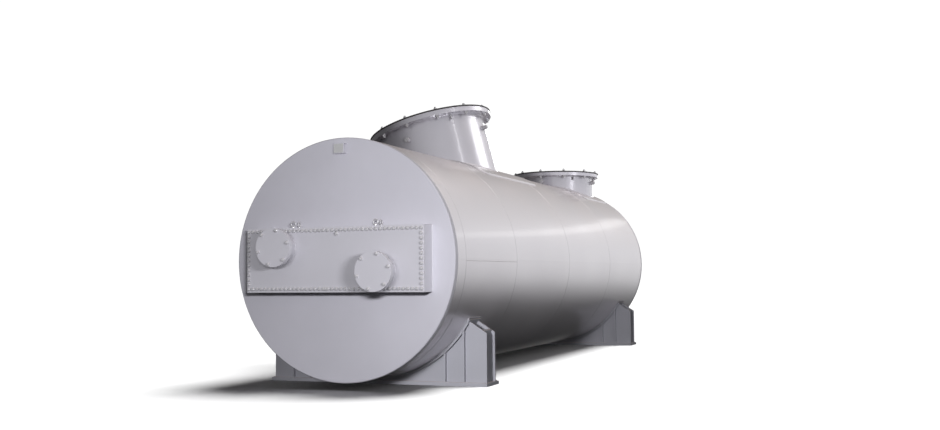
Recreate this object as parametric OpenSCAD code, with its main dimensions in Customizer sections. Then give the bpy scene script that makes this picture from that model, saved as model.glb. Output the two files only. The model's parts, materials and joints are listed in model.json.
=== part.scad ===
// Horizontal shell-type gas cooler with a removable finned bundle behind a flat water header.
// X is across the shell, Y runs along it with the water header at -Y, Z is up.
// The floor under the saddles is z = 0, and stations are measured back from the front face.

/* [Shell] */
// Outside diameter of the shell
shell_d = 2500; // [2400:10:2560]
// Wall thickness of the shell
shell_t = 18; // [14:1:24]
// Station of the weld behind the front ring
ring_l = 280; // [240:5:320]
// Length of the first course
course_1_l = 1530; // [1450:5:1600]
// Length of the second course
course_2_l = 2095; // [2050:5:2150]
// Length of the third course
course_3_l = 2155; // [2100:5:2200]
// Length of the fourth course, to the rear face
course_4_l = 2190; // [2150:5:2250]
// Thickness of the flat end plates
end_plate_t = 70; // [50:1:90]
// Chamfer round the rim of the end plates
end_chamfer = 8; // [4:1:12]

/* [Water header] */
// Distance of the header's corners from the rim of the end plate
header_corner_in = 194; // [165:1:220]
// Height of the header
header_h = 658; // [620:2:700]
// Thickness of the seating frame on the end plate
frame_t = 25; // [20:1:30]
// Thickness of the tube sheet
tubesheet_t = 50; // [40:1:60]
// Depth of the water box between tube sheet and cover
box_t = 65; // [55:1:80]
// Thickness of the bolted cover
cover_t = 60; // [50:1:70]
// Width of the bolted rim round the water box and the bundle opening
box_rim = 80; // [70:1:95]

/* [Water nozzles] */
// Distance of each water nozzle from its end of the header
water_end_in = 443; // [400:1:490]
// Distance of each water nozzle from its long edge of the header
water_edge_in = 204; // [190:1:224]
// Wall of the water pipes
water_t = 9; // [6:1:12]
// Length of the water pipes from the cover to the flange
water_l = 165; // [150:1:190]
// Outside diameter of the water flanges and their blanks
water_flange_d = 395; // [385:1:405]
// Thickness of the water flanges
water_flange_t = 28; // [24:1:32]
// Thickness of the blanks that close them
water_blank_t = 26; // [22:1:30]
// Distance of their bolt circle from the rim
water_bolt_edge = 22.5; // [20:0.5:26]
// Distance of the water pipes from the bolt circle
water_bolt_in = 38.5; // [32:0.5:44]
// Bolt hole in the water flanges
water_hole_d = 22; // [18:1:26]
// Bolt holes in each water flange
water_holes = 12; // [8:4:16]
// Each blank is held by one bolt for every so many holes
water_bolt_every = 2; // [1:1:4]

/* [Gas inlet] */
// Station of the gas inlet
inlet_at = 3335; // [3250:5:3400]
// Lean of the gas inlet about the shell axis
inlet_lean = -15.2; // [-17:0.1:-14]
// Height of the inlet cover's outer face above the shell
inlet_stand = 646; // [600:2:670]
// Outside diameter of the inlet flange
inlet_flange_d = 1640; // [1620:2:1650]
// Distance of its bolt circle from the rim
inlet_bolt_edge = 40; // [34:1:46]
// Distance of the inlet neck from the bolt circle
inlet_bolt_in = 70; // [55:1:85]
// Bolt hole in the inlet flange
inlet_hole_d = 30; // [24:1:36]
// Bolt holes in the inlet flange
inlet_holes = 48; // [36:12:60]
// Thickness of the inlet flange
inlet_flange_t = 62; // [54:1:70]
// How far the inlet pad reaches past the neck, along the shell
inlet_pad_end = 290; // [190:5:390]
// How far the inlet pad reaches past the neck, to the sides
inlet_pad_side = 220; // [150:5:250]
// Distance of the inlet test bosses below the flange
inlet_boss_drop = 186; // [140:2:240]

/* [Gas outlet] */
// Distance of the gas outlet from the rear face
outlet_in = 864; // [820:2:910]
// Height of the outlet cover's outer face above the shell
outlet_stand = 256; // [230:2:280]
// Outside diameter of the outlet flange
outlet_flange_d = 1405; // [1390:1:1420]
// Distance of its bolt circle from the rim
outlet_bolt_edge = 32.5; // [28:0.5:38]
// Distance of the outlet neck from the bolt circle
outlet_bolt_in = 60; // [48:1:72]
// Bolt hole in the outlet flange
outlet_hole_d = 28; // [22:1:33]
// Bolt holes in the outlet flange
outlet_holes = 44; // [32:4:48]
// Thickness of the outlet flange
outlet_flange_t = 56; // [50:1:62]
// How far the outlet pad reaches past the neck, along the shell
outlet_pad_end = 105; // [85:5:130]
// How far the outlet pad reaches past the neck, to the sides
outlet_pad_side = 90; // [70:5:120]
// Distance of the outlet test bosses below the flange
outlet_boss_drop = 90; // [80:1:104]

/* [Gas nozzle details] */
// Wall of the gas nozzle necks
neck_t = 14; // [10:1:18]
// Thickness of the shipping covers on the gas flanges
gas_cover_t = 12; // [8:1:16]
// Each shipping cover is held by one bolt for every so many holes
gas_bolt_every = 4; // [1:1:4]
// Thickness of the pads on the shell
pad_t = 16; // [10:1:20]
// Corner radius of the pads
pad_r = 120; // [80:5:160]
// Diameter of the test bosses
boss_d = 64; // [54:1:74]
// Length of the test bosses from the neck
boss_l = 46; // [38:1:60]
// Turn of the front bosses round their necks, to the left
boss_turn = 5; // [0:0.5:10]
// Width across corners of the plug in each boss
plug_d = 46; // [40:1:52]
// Length of the plug head
plug_l = 20; // [14:1:26]
// Height of the earthing tab under each gas flange
tab_h = 50; // [40:1:60]
// How far the earthing tab stands out from the neck
tab_out = 45; // [35:1:55]
// Thickness of the earthing tab
tab_t = 10; // [6:1:14]
// Space between the earthing tab and the flange
tab_drop = 15; // [5:1:25]
// Bearing of the earthing tab round the neck
tab_turn = -46; // [-52:1:-40]

/* [Saddles] */
// Distance of each saddle from its end of the shell
saddle_in = 890; // [850:5:930]
// How far the base plates reach past the side of the shell
base_past = 40; // [40:1:70]
// How far the base plates reach past the ends of the webs
base_end = 18; // [10:1:30]
// How far the base plates reach past the ribs
base_edge = 9.5; // [6:0.5:20]
// Thickness of the base plates
base_t = 34; // [28:1:40]
// Space between base plate and wear plate under the shell
web_under = 17; // [12:1:24]
// Thickness of the wear plates
wear_t = 20; // [14:1:24]
// How far the wear plates reach past the webs, along the shell
wear_past = 42.5; // [30:0.5:46]
// Angle that each wear plate wraps past the webs' shoulders
wear_past_angle = 1; // [0.5:0.5:4]
// Thickness of the web plates
web_t = 20; // [16:1:24]
// Distance over the outer faces of a saddle's two webs
web_spread = 255; // [235:5:265]
// Fall of the webs' shoulders from the shell to the straight ends
web_fall = 118; // [90:1:150]
// Angle from straight down at which the webs leave the shell
web_top_angle = 59; // [56:0.5:60]
// Thickness of the ribs on the webs
rib_t = 20; // [16:1:24]
// How far the ribs stand out from the webs
rib_out = 38; // [30:1:42]
// Distance of the inner ribs from the ends of the webs
rib_inner_in = 462; // [430:2:500]
// Distance of the outer ribs from the ends of the webs
rib_outer_in = 247; // [220:1:280]
// Distance of the cross plates between the webs from their ends
cross_in = 35; // [20:1:50]
// Distance of the anchor bolt holes from the ends of the base plates
anchor_in = 170; // [150:1:200]
// Diameter of the anchor bolt holes
anchor_d = 42; // [33:1:48]

/* [Fittings] */
// Distance of the lifting lugs from the middle
lug_x = 470; // [440:5:500]
// Outside diameter of the ring of each lug
lug_ring_d = 63; // [54:1:72]
// Diameter of the bar that the ring is made of
lug_bar_d = 13; // [10:1:16]
// Diameter of the round foot under each ring
lug_foot_d = 36; // [30:1:42]
// Height of the foot
lug_foot_h = 10; // [8:1:14]
// Turn of the two rings on the tube sheet
bundle_lug_turn = 90; // [0:5:90]
// Width of the nameplate bracket
bracket_w = 120; // [110:1:130]
// Height of the nameplate bracket
bracket_h = 105; // [95:1:115]
// Distance that the nameplate stands off the end plate
bracket_out = 70; // [55:1:80]
// Sheet thickness of the nameplate bracket
bracket_t = 5; // [3:1:6]
// Distance of the nameplate's middle from the top of the end plate
nameplate_drop = 118; // [95:1:140]
// Rim of the bracket that shows round the nameplate
nameplate_rim = 6; // [3:0.5:10]
// Thickness of the nameplate
nameplate_t = 2; // [1:0.5:3]

/* [Hidden] */
// Sides of the turned shapes
$fn = 192;
// How far a cutting shape runs past the face it cuts
over = 5;
// How far up the shell radius a neck's blank starts, before it is cut to the shell
neck_start_share = 0.5;
// Reach of the wedge that trims the wear plates, in shell radii
wedge_shares = 6;

shell_r = shell_d / 2;
wear_r = shell_r + wear_t;
pad_outer_r = shell_r + pad_t;
axis_z = base_t + web_under + wear_r;
shell_l = ring_l + course_1_l + course_2_l + course_3_l + course_4_l;
header_reach = shell_r - header_corner_in;
header_w = 2 * sqrt(header_reach * header_reach - header_h * header_h / 4);
header_out = frame_t + tubesheet_t + box_t + cover_t;
bundle_w = header_w - 2 * box_rim;
bundle_h = header_h - 2 * box_rim;
water_x = header_w / 2 - water_end_in;
water_z = header_h / 2 - water_edge_in;
water_pcd = water_flange_d - 2 * water_bolt_edge;
water_d = water_pcd - 2 * water_bolt_in;
water_out = header_out + water_l + water_flange_t + water_blank_t;
// The front face sits so that the whole part is centred on the origin along Y
front_y = (water_out - shell_l) / 2;
course_1_at = ring_l;
course_2_at = course_1_at + course_1_l;
course_3_at = course_2_at + course_2_l;
course_4_at = course_3_at + course_3_l;
rear_saddle_at = shell_l - saddle_in;
inlet_pcd = inlet_flange_d - 2 * inlet_bolt_edge;
inlet_d = inlet_pcd - 2 * inlet_bolt_in;
inlet_top = shell_r + inlet_stand - gas_cover_t;
inlet_under = inlet_top - inlet_flange_t;
outlet_at = shell_l - outlet_in;
outlet_pcd = outlet_flange_d - 2 * outlet_bolt_edge;
outlet_d = outlet_pcd - 2 * outlet_bolt_in;
outlet_top = shell_r + outlet_stand - gas_cover_t;
outlet_under = outlet_top - outlet_flange_t;
base_l = shell_d + 2 * base_past;
base_w = web_spread + 2 * rib_out + 2 * base_edge;
web_l = base_l - 2 * base_end;
wear_w = web_spread + 2 * wear_past;
anchor_x = base_l / 2 - anchor_in;
nameplate_z = shell_r - nameplate_drop;
nameplate_w = bracket_w - 2 * nameplate_rim;
nameplate_h = bracket_h - 2 * nameplate_rim;
// The water and outlet holes straddle their centre lines, and the inlet has one on its own
water_turn = 180 / water_holes;
outlet_turn = 180 / outlet_holes;

plate_colour = [0.72, 0.73, 0.75];
shell_colour = [0.74, 0.72, 0.70];
steel_colour = [0.62, 0.63, 0.65];
cover_colour = [0.16, 0.15, 0.16];
tag_colour = [0.85, 0.85, 0.83];

// Puts children on the shell axis at a station, with their Z along +Y
module along_shell(station) {
    translate([0, front_y + station, axis_z])
        rotate([-90, 0, 0])
            children();
}

// Stands a flat outline, drawn across X and up from the shell axis, and gives it a thickness along +Y
module upright_plate(station, thickness) {
    translate([0, front_y + station + thickness, axis_z])
        rotate([90, 0, 0])
            linear_extrude(thickness)
                children();
}

// Puts children on a gas nozzle's own axis, with Z out of the shell
module on_nozzle(station, lean) {
    translate([0, front_y + station, axis_z])
        rotate([0, lean, 0])
            children();
}

module tube(outer_d, inner_d, length) {
    difference() {
        cylinder(h = length, d = outer_d);
        translate([0, 0, -over])
            cylinder(h = length + 2 * over, d = inner_d);
    }
}

// Round solid that fills the shell from end to end, for cutting what sits on it
module shell_core(radius) {
    translate([0, front_y - over, axis_z])
        rotate([-90, 0, 0])
            cylinder(h = shell_l + 2 * over, r = radius);
}

module nozzle_bore(station, lean, neck_d) {
    on_nozzle(station, lean)
        cylinder(h = shell_d, d = neck_d - 2 * neck_t);
}

// Rolled course of the shell, opened where a gas nozzle stands on it
module shell_course(station, length) {
    color(shell_colour)
        difference() {
            along_shell(station)
                tube(shell_d, shell_d - 2 * shell_t, length);
            nozzle_bore(inlet_at, inlet_lean, inlet_d);
            nozzle_bore(outlet_at, 0, outlet_d);
        }
}

// Disc with a chamfered outer edge on one face
module end_disc() {
    rotate_extrude()
        polygon([
            [0, 0],
            [shell_r - end_chamfer, 0],
            [shell_r, end_chamfer],
            [shell_r, end_plate_t],
            [0, end_plate_t]
        ]);
}

module front_end_plate() {
    color(plate_colour)
        difference() {
            along_shell(0)
                end_disc();
            upright_plate(-over, end_plate_t + 2 * over)
                square([bundle_w, bundle_h], center = true);
        }
}

module rear_end_plate() {
    color(plate_colour)
        translate([0, front_y + shell_l, axis_z])
            rotate([90, 0, 0])
                end_disc();
}

// Rectangular ring of the header's outer size round an opening
module header_ring(station, thickness, open_w, open_h) {
    upright_plate(station, thickness)
        difference() {
            square([header_w, header_h], center = true);
            square([open_w, open_h], center = true);
        }
}

module header_frame() {
    color(plate_colour)
        header_ring(-frame_t, frame_t, bundle_w, bundle_h);
}

module header_tubesheet() {
    color(plate_colour)
        upright_plate(-frame_t - tubesheet_t, tubesheet_t)
            square([header_w, header_h], center = true);
}

module header_box() {
    color(steel_colour)
        header_ring(-header_out + cover_t, box_t, header_w - 2 * box_rim, header_h - 2 * box_rim);
}

module header_cover() {
    color(plate_colour)
        upright_plate(-header_out, cover_t)
            difference() {
                square([header_w, header_h], center = true);
                for (side = [-1, 1])
                    translate([side * water_x, -side * water_z])
                        circle(d = water_d - 2 * water_t);
            }
}

// Lifting ring on a round foot, on top of the header; a turn of 0 faces the ring to the front
module lifting_lug(side, station, turn) {
    color(steel_colour)
        translate([side * lug_x, front_y + station, axis_z + header_h / 2])
            union() {
                cylinder(h = lug_foot_h, d = lug_foot_d);
                translate([0, 0, lug_foot_h / 2 + lug_ring_d / 2])
                    rotate([90, 0, turn])
                        rotate_extrude()
                            translate([(lug_ring_d - lug_bar_d) / 2, 0])
                                circle(d = lug_bar_d);
            }
}

// Puts children on a water nozzle's axis, with Z pointing out to the front from the header cover
module on_water(side, out) {
    translate([side * water_x, front_y - header_out - out, axis_z - side * water_z])
        rotate([90, 0, 0])
            children();
}

module water_neck(side) {
    color(plate_colour)
        on_water(side, 0)
            tube(water_d, water_d - 2 * water_t, water_l);
}

module bolt_circle(holes, pcd, hole_d, length) {
    for (i = [0 : holes - 1])
        rotate([0, 0, i * 360 / holes])
            translate([pcd / 2, 0, -over])
                cylinder(h = length + 2 * over, d = hole_d);
}

module water_flange(side) {
    color(plate_colour)
        on_water(side, water_l)
            difference() {
                tube(water_flange_d, water_d - 2 * water_t, water_flange_t);
                rotate([0, 0, water_turn])
                    bolt_circle(water_holes, water_pcd, water_hole_d, water_flange_t);
            }
}

module water_blank(side) {
    color(plate_colour)
        on_water(side, water_l + water_flange_t)
            difference() {
                cylinder(h = water_blank_t, d = water_flange_d);
                rotate([0, 0, water_turn])
                    bolt_circle(water_holes / water_bolt_every, water_pcd, water_hole_d, water_blank_t);
            }
}

module nameplate_bracket() {
    color(plate_colour)
        translate([-bracket_w / 2, front_y - bracket_out, axis_z + nameplate_z - bracket_h / 2])
            rotate([90, 0, 90])
                linear_extrude(bracket_w)
                    difference() {
                        square([bracket_out, bracket_h]);
                        translate([bracket_t, bracket_t])
                            square([bracket_out, bracket_h - 2 * bracket_t]);
                    }
}

module nameplate() {
    face_y = front_y - bracket_out - nameplate_t;
    color(tag_colour)
        translate([-nameplate_w / 2, face_y, axis_z + nameplate_z - nameplate_h / 2])
            cube([nameplate_w, nameplate_t, nameplate_h]);
}

// Rounded rectangle from two crossed squares and four corner discs
module rounded_outline(half_x, half_y, radius) {
    square([2 * (half_x - radius), 2 * half_y], center = true);
    square([2 * half_x, 2 * (half_y - radius)], center = true);
    for (sx = [-1, 1], sy = [-1, 1])
        translate([sx * (half_x - radius), sy * (half_y - radius)])
            circle(r = radius);
}

// Curved plate on the shell round the foot of a gas nozzle
module gas_pad(station, lean, neck_d, past_x, past_y) {
    color(shell_colour)
        difference() {
            intersection() {
                shell_core(pad_outer_r);
                on_nozzle(station, lean)
                    linear_extrude(shell_d)
                        difference() {
                            rounded_outline(neck_d / 2 + past_x, neck_d / 2 + past_y, pad_r);
                            circle(d = neck_d);
                        }
            }
            shell_core(shell_r);
        }
}

module gas_neck(station, lean, neck_d, flange_under) {
    start = shell_r * neck_start_share;
    color(plate_colour)
        difference() {
            on_nozzle(station, lean)
                translate([0, 0, start])
                    tube(neck_d, neck_d - 2 * neck_t, flange_under - start);
            shell_core(shell_r);
        }
}

module gas_flange(station, lean, top, neck_d, flange_d, flange_t, holes, pcd, hole_d, turn) {
    color(plate_colour)
        on_nozzle(station, lean)
            translate([0, 0, top - flange_t])
                difference() {
                    tube(flange_d, neck_d - 2 * neck_t, flange_t);
                    rotate([0, 0, turn])
                        bolt_circle(holes, pcd, hole_d, flange_t);
                }
}

module gas_cover(station, lean, top, flange_d, holes, pcd, hole_d, turn) {
    color(cover_colour)
        on_nozzle(station, lean)
            translate([0, 0, top])
                difference() {
                    cylinder(h = gas_cover_t, d = flange_d);
                    rotate([0, 0, turn])
                        bolt_circle(holes / gas_bolt_every, pcd, hole_d, gas_cover_t);
                }
}

// Round boss on a neck, with a six-sided plug in it; a turn of 0 faces the front, 90 faces +X
module test_boss(station, lean, neck_d, height, turn) {
    color(steel_colour)
        on_nozzle(station, lean)
            difference() {
                translate([0, 0, height])
                    rotate([90, 0, turn])
                        union() {
                            cylinder(h = neck_d / 2 + boss_l, d = boss_d);
                            cylinder(h = neck_d / 2 + boss_l + plug_l, d = plug_d, $fn = 6);
                        }
                cylinder(h = shell_d, d = neck_d);
            }
}

// Small upright plate on a neck, just under its flange
module earth_tab(station, lean, neck_d, flange_under) {
    color(steel_colour)
        on_nozzle(station, lean)
            difference() {
                rotate([0, 0, tab_turn])
                    translate([0, -tab_t / 2, flange_under - tab_drop - tab_h])
                        cube([neck_d / 2 + tab_out, tab_t, tab_h]);
                cylinder(h = shell_d, d = neck_d);
            }
}

module saddle_base(station) {
    color(steel_colour)
        difference() {
            translate([-base_l / 2, front_y + station - base_w / 2, 0])
                cube([base_l, base_w, base_t]);
            for (side = [-1, 1])
                translate([side * anchor_x, front_y + station, -over])
                    cylinder(h = base_t + 2 * over, d = anchor_d);
        }
}

// Web outline: straight ends, shoulders that slope up to the shell, hollowed to the wear plate
module web_outline() {
    foot = base_t - axis_z;
    shoulder_x = wear_r * sin(web_top_angle);
    shoulder_z = -wear_r * cos(web_top_angle);
    difference() {
        polygon([
            [-web_l / 2, foot],
            [web_l / 2, foot],
            [web_l / 2, shoulder_z - web_fall],
            [shoulder_x, shoulder_z],
            [-shoulder_x, shoulder_z],
            [-web_l / 2, shoulder_z - web_fall]
        ]);
        circle(r = wear_r);
    }
}

// Upright strips of the web outline, each so far from its end of the webs
module web_strips(distances) {
    intersection() {
        web_outline();
        for (side = [-1, 1], distance = distances)
            translate([side * (web_l / 2 - distance) - rib_t / 2, -shell_d])
                square([rib_t, 2 * shell_d]);
    }
}

// Web plate with its ribs; facing is -1 where the ribs are on the front, 1 where they are behind
module saddle_web(station, facing) {
    middle = station + facing * (web_spread - web_t) / 2;
    rib_at = station + facing * (web_spread + rib_out) / 2;
    color(steel_colour)
        union() {
            upright_plate(middle - web_t / 2, web_t)
                web_outline();
            upright_plate(rib_at - rib_out / 2, rib_out)
                web_strips([rib_inner_in, rib_outer_in]);
        }
}

// Front web, which carries the two cross plates that close the saddle towards its ends
module front_web(station) {
    bay = web_spread - 2 * web_t;
    color(steel_colour)
        union() {
            saddle_web(station, -1);
            upright_plate(station - bay / 2, bay)
                web_strips([cross_in + rib_t / 2]);
        }
}

module wear_plate(station) {
    reach = wedge_shares * shell_r;
    half_angle = web_top_angle + wear_past_angle;
    color(steel_colour)
        upright_plate(station - wear_w / 2, wear_w)
            intersection() {
                difference() {
                    circle(r = wear_r);
                    circle(r = shell_r);
                }
                polygon([
                    [0, 0],
                    [reach * sin(half_angle), -reach * cos(half_angle)],
                    [-reach * sin(half_angle), -reach * cos(half_angle)]
                ]);
            }
}

module shell_front_ring() { shell_course(end_plate_t, ring_l - end_plate_t); }
module shell_course_1() { shell_course(course_1_at, course_1_l); }
module shell_course_2() { shell_course(course_2_at, course_2_l); }
module shell_course_3() { shell_course(course_3_at, course_3_l); }
module shell_course_4() { shell_course(course_4_at, course_4_l - end_plate_t); }

module left_lifting_lug() { lifting_lug(-1, cover_t / 2 - header_out, 0); }
module right_lifting_lug() { lifting_lug(1, cover_t / 2 - header_out, 0); }
module left_bundle_lug() { lifting_lug(-1, -frame_t - tubesheet_t / 2, bundle_lug_turn); }
module right_bundle_lug() { lifting_lug(1, -frame_t - tubesheet_t / 2, bundle_lug_turn); }
module upper_water_neck() { water_neck(-1); }
module upper_water_flange() { water_flange(-1); }
module upper_water_blank() { water_blank(-1); }
module lower_water_neck() { water_neck(1); }
module lower_water_flange() { water_flange(1); }
module lower_water_blank() { water_blank(1); }

module gas_inlet_pad() { gas_pad(inlet_at, inlet_lean, inlet_d, inlet_pad_side, inlet_pad_end); }
module gas_inlet_neck() { gas_neck(inlet_at, inlet_lean, inlet_d, inlet_under); }
module gas_inlet_flange() {
    gas_flange(inlet_at, inlet_lean, inlet_top, inlet_d, inlet_flange_d, inlet_flange_t,
        inlet_holes, inlet_pcd, inlet_hole_d, 0);
}
module gas_inlet_cover() {
    gas_cover(inlet_at, inlet_lean, inlet_top, inlet_flange_d,
        inlet_holes, inlet_pcd, inlet_hole_d, 0);
}
module gas_inlet_front_boss() {
    test_boss(inlet_at, inlet_lean, inlet_d, inlet_under - inlet_boss_drop, -boss_turn);
}
module gas_inlet_side_boss() { test_boss(inlet_at, inlet_lean, inlet_d, inlet_under - inlet_boss_drop, 90); }
module gas_inlet_earth_tab() { earth_tab(inlet_at, inlet_lean, inlet_d, inlet_under); }

module gas_outlet_pad() { gas_pad(outlet_at, 0, outlet_d, outlet_pad_side, outlet_pad_end); }
module gas_outlet_neck() { gas_neck(outlet_at, 0, outlet_d, outlet_under); }
module gas_outlet_flange() {
    gas_flange(outlet_at, 0, outlet_top, outlet_d, outlet_flange_d, outlet_flange_t,
        outlet_holes, outlet_pcd, outlet_hole_d, outlet_turn);
}
module gas_outlet_cover() {
    gas_cover(outlet_at, 0, outlet_top, outlet_flange_d,
        outlet_holes, outlet_pcd, outlet_hole_d, outlet_turn);
}
module gas_outlet_front_boss() {
    test_boss(outlet_at, 0, outlet_d, outlet_under - outlet_boss_drop, -boss_turn);
}
module gas_outlet_side_boss() { test_boss(outlet_at, 0, outlet_d, outlet_under - outlet_boss_drop, 90); }
module gas_outlet_earth_tab() { earth_tab(outlet_at, 0, outlet_d, outlet_under); }

module front_saddle_base() { saddle_base(saddle_in); }
module front_saddle_front_web() { front_web(saddle_in); }
module front_saddle_rear_web() { saddle_web(saddle_in, 1); }
module front_saddle_wear_plate() { wear_plate(saddle_in); }
module rear_saddle_base() { saddle_base(rear_saddle_at); }
module rear_saddle_front_web() { front_web(rear_saddle_at); }
module rear_saddle_rear_web() { saddle_web(rear_saddle_at, 1); }
module rear_saddle_wear_plate() { wear_plate(rear_saddle_at); }

front_end_plate();
shell_front_ring();
shell_course_1();
shell_course_2();
shell_course_3();
shell_course_4();
rear_end_plate();
header_frame();
header_tubesheet();
header_box();
header_cover();
left_lifting_lug();
right_lifting_lug();
left_bundle_lug();
right_bundle_lug();
upper_water_neck();
upper_water_flange();
upper_water_blank();
lower_water_neck();
lower_water_flange();
lower_water_blank();
nameplate_bracket();
nameplate();
gas_inlet_pad();
gas_inlet_neck();
gas_inlet_flange();
gas_inlet_cover();
gas_inlet_front_boss();
gas_inlet_side_boss();
gas_inlet_earth_tab();
gas_outlet_pad();
gas_outlet_neck();
gas_outlet_flange();
gas_outlet_cover();
gas_outlet_front_boss();
gas_outlet_side_boss();
gas_outlet_earth_tab();
front_saddle_base();
front_saddle_front_web();
front_saddle_rear_web();
front_saddle_wear_plate();
rear_saddle_base();
rear_saddle_front_web();
rear_saddle_rear_web();
rear_saddle_wear_plate();
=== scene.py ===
import json
import math

import bmesh
import bpy
from mathutils import Matrix, Vector

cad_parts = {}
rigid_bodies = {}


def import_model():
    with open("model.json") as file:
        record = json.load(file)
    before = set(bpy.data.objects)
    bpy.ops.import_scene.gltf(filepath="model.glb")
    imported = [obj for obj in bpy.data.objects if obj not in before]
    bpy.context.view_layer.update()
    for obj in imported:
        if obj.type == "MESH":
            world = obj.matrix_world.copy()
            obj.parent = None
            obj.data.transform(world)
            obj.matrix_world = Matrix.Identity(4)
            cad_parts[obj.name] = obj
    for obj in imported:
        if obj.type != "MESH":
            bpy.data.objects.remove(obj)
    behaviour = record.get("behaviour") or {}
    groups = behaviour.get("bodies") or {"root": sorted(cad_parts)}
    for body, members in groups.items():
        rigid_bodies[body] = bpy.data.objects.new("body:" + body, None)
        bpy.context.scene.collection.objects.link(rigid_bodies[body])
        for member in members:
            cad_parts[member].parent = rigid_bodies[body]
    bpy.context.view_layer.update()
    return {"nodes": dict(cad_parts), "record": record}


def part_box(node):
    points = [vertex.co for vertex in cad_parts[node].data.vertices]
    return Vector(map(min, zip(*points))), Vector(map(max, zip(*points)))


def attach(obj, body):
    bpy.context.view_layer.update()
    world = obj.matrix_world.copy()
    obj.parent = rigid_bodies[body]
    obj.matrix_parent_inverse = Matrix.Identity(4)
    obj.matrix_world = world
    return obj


for leftOver in list(bpy.data.objects):
    bpy.data.objects.remove(leftOver)

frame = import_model()
nodes = frame["nodes"]
mounts = {mount["name"]: mount for mount in frame["record"]["mounts"]}
scene = bpy.context.scene
scene.view_settings.view_transform = "Standard"
print("frame loaded:", len(nodes), "nodes")

# The camera stands to the right of the header, a little under the shell axis
photoView = {
    "eye": (5.138, -13.196, 1.144),
    "yaw": 21.904,
    "pitch": 3.368,
    "roll": 0.559,
    "lens": 39.602,
    "sensor": 36.0,
    "clipEnd": 400.0,
}


def addCamera(view):
    yaw, pitch, roll = (math.radians(view[key]) for key in ("yaw", "pitch", "roll"))
    ahead = Vector((-math.sin(yaw) * math.cos(pitch),
                    math.cos(yaw) * math.cos(pitch),
                    math.sin(pitch)))
    level = Vector((math.cos(yaw), math.sin(yaw), 0.0))
    below = ahead.cross(level)
    across = level * math.cos(roll) + below * math.sin(roll)
    down = below * math.cos(roll) - level * math.sin(roll)
    data = bpy.data.cameras.new("photoCamera")
    data.lens = view["lens"]
    data.sensor_width = view["sensor"]
    data.clip_end = view["clipEnd"]
    camera = bpy.data.objects.new("photoCamera", data)
    turn = Matrix((across, -down, -ahead)).transposed()
    camera.matrix_world = Matrix.Translation(view["eye"]) @ turn.to_4x4()
    scene.collection.objects.link(camera)
    scene.camera = camera


addCamera(photoView)
print("camera set")


# Shader helpers
def addNode(tree, kind, **inputs):
    node = tree.nodes.new(kind)
    for label, value in inputs.items():
        node.inputs[label.replace("_", " ")].default_value = value
    return node


def join(tree, source, target):
    tree.links.new(source, target)


# Links a socket, or sets a plain value
def feed(tree, value, target):
    if hasattr(value, "is_linked"):
        join(tree, value, target)
    else:
        target.default_value = value


def blendNode(tree, factor, first, second, blend="MIX"):
    mix = tree.nodes.new("ShaderNodeMix")
    mix.data_type = "RGBA"
    mix.blend_type = blend
    sockets = (mix.inputs[0], mix.inputs[6], mix.inputs[7])  # factor and the two colours
    for socket, value in zip(sockets, (factor, first, second)):
        feed(tree, value, socket)
    return mix.outputs[2]


def mathNode(tree, operation, first, second):
    node = tree.nodes.new("ShaderNodeMath")
    node.operation = operation
    for socket, value in zip(node.inputs, (first, second)):
        feed(tree, value, socket)
    return node.outputs["Value"]


def rangeNode(tree, value, low, high, toLow, toHigh):
    node = addNode(tree, "ShaderNodeMapRange",
                   From_Min=low, From_Max=high, To_Min=toLow, To_Max=toHigh)
    join(tree, value, node.inputs["Value"])
    return node.outputs["Result"]


def noiseNode(tree, place, scale, detail, roughness):
    noise = addNode(tree, "ShaderNodeTexNoise", Scale=scale, Detail=detail, Roughness=roughness)
    join(tree, place, noise.inputs["Vector"])
    return noise.outputs["Fac"]


def stretchNode(tree, place, scale):
    stretch = addNode(tree, "ShaderNodeMapping", Scale=scale)
    join(tree, place, stretch.inputs["Vector"])
    return stretch.outputs["Vector"]


def bumpNode(tree, height, strength, depth, normal=None):
    bump = addNode(tree, "ShaderNodeBump", Strength=strength, Distance=depth)
    join(tree, height, bump.inputs["Height"])
    if normal is not None:
        join(tree, normal, bump.inputs["Normal"])
    return bump.outputs["Normal"]


def shade(colour, factor):
    return tuple(min(1.0, channel * factor) for channel in colour) + (1.0,)


def newFinish(name):
    material = bpy.data.materials.new(name)
    material.use_nodes = True
    tree = material.node_tree
    place = tree.nodes.new("ShaderNodeTexCoord").outputs["Object"]
    return material, tree, tree.nodes["Principled BSDF"], place


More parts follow.
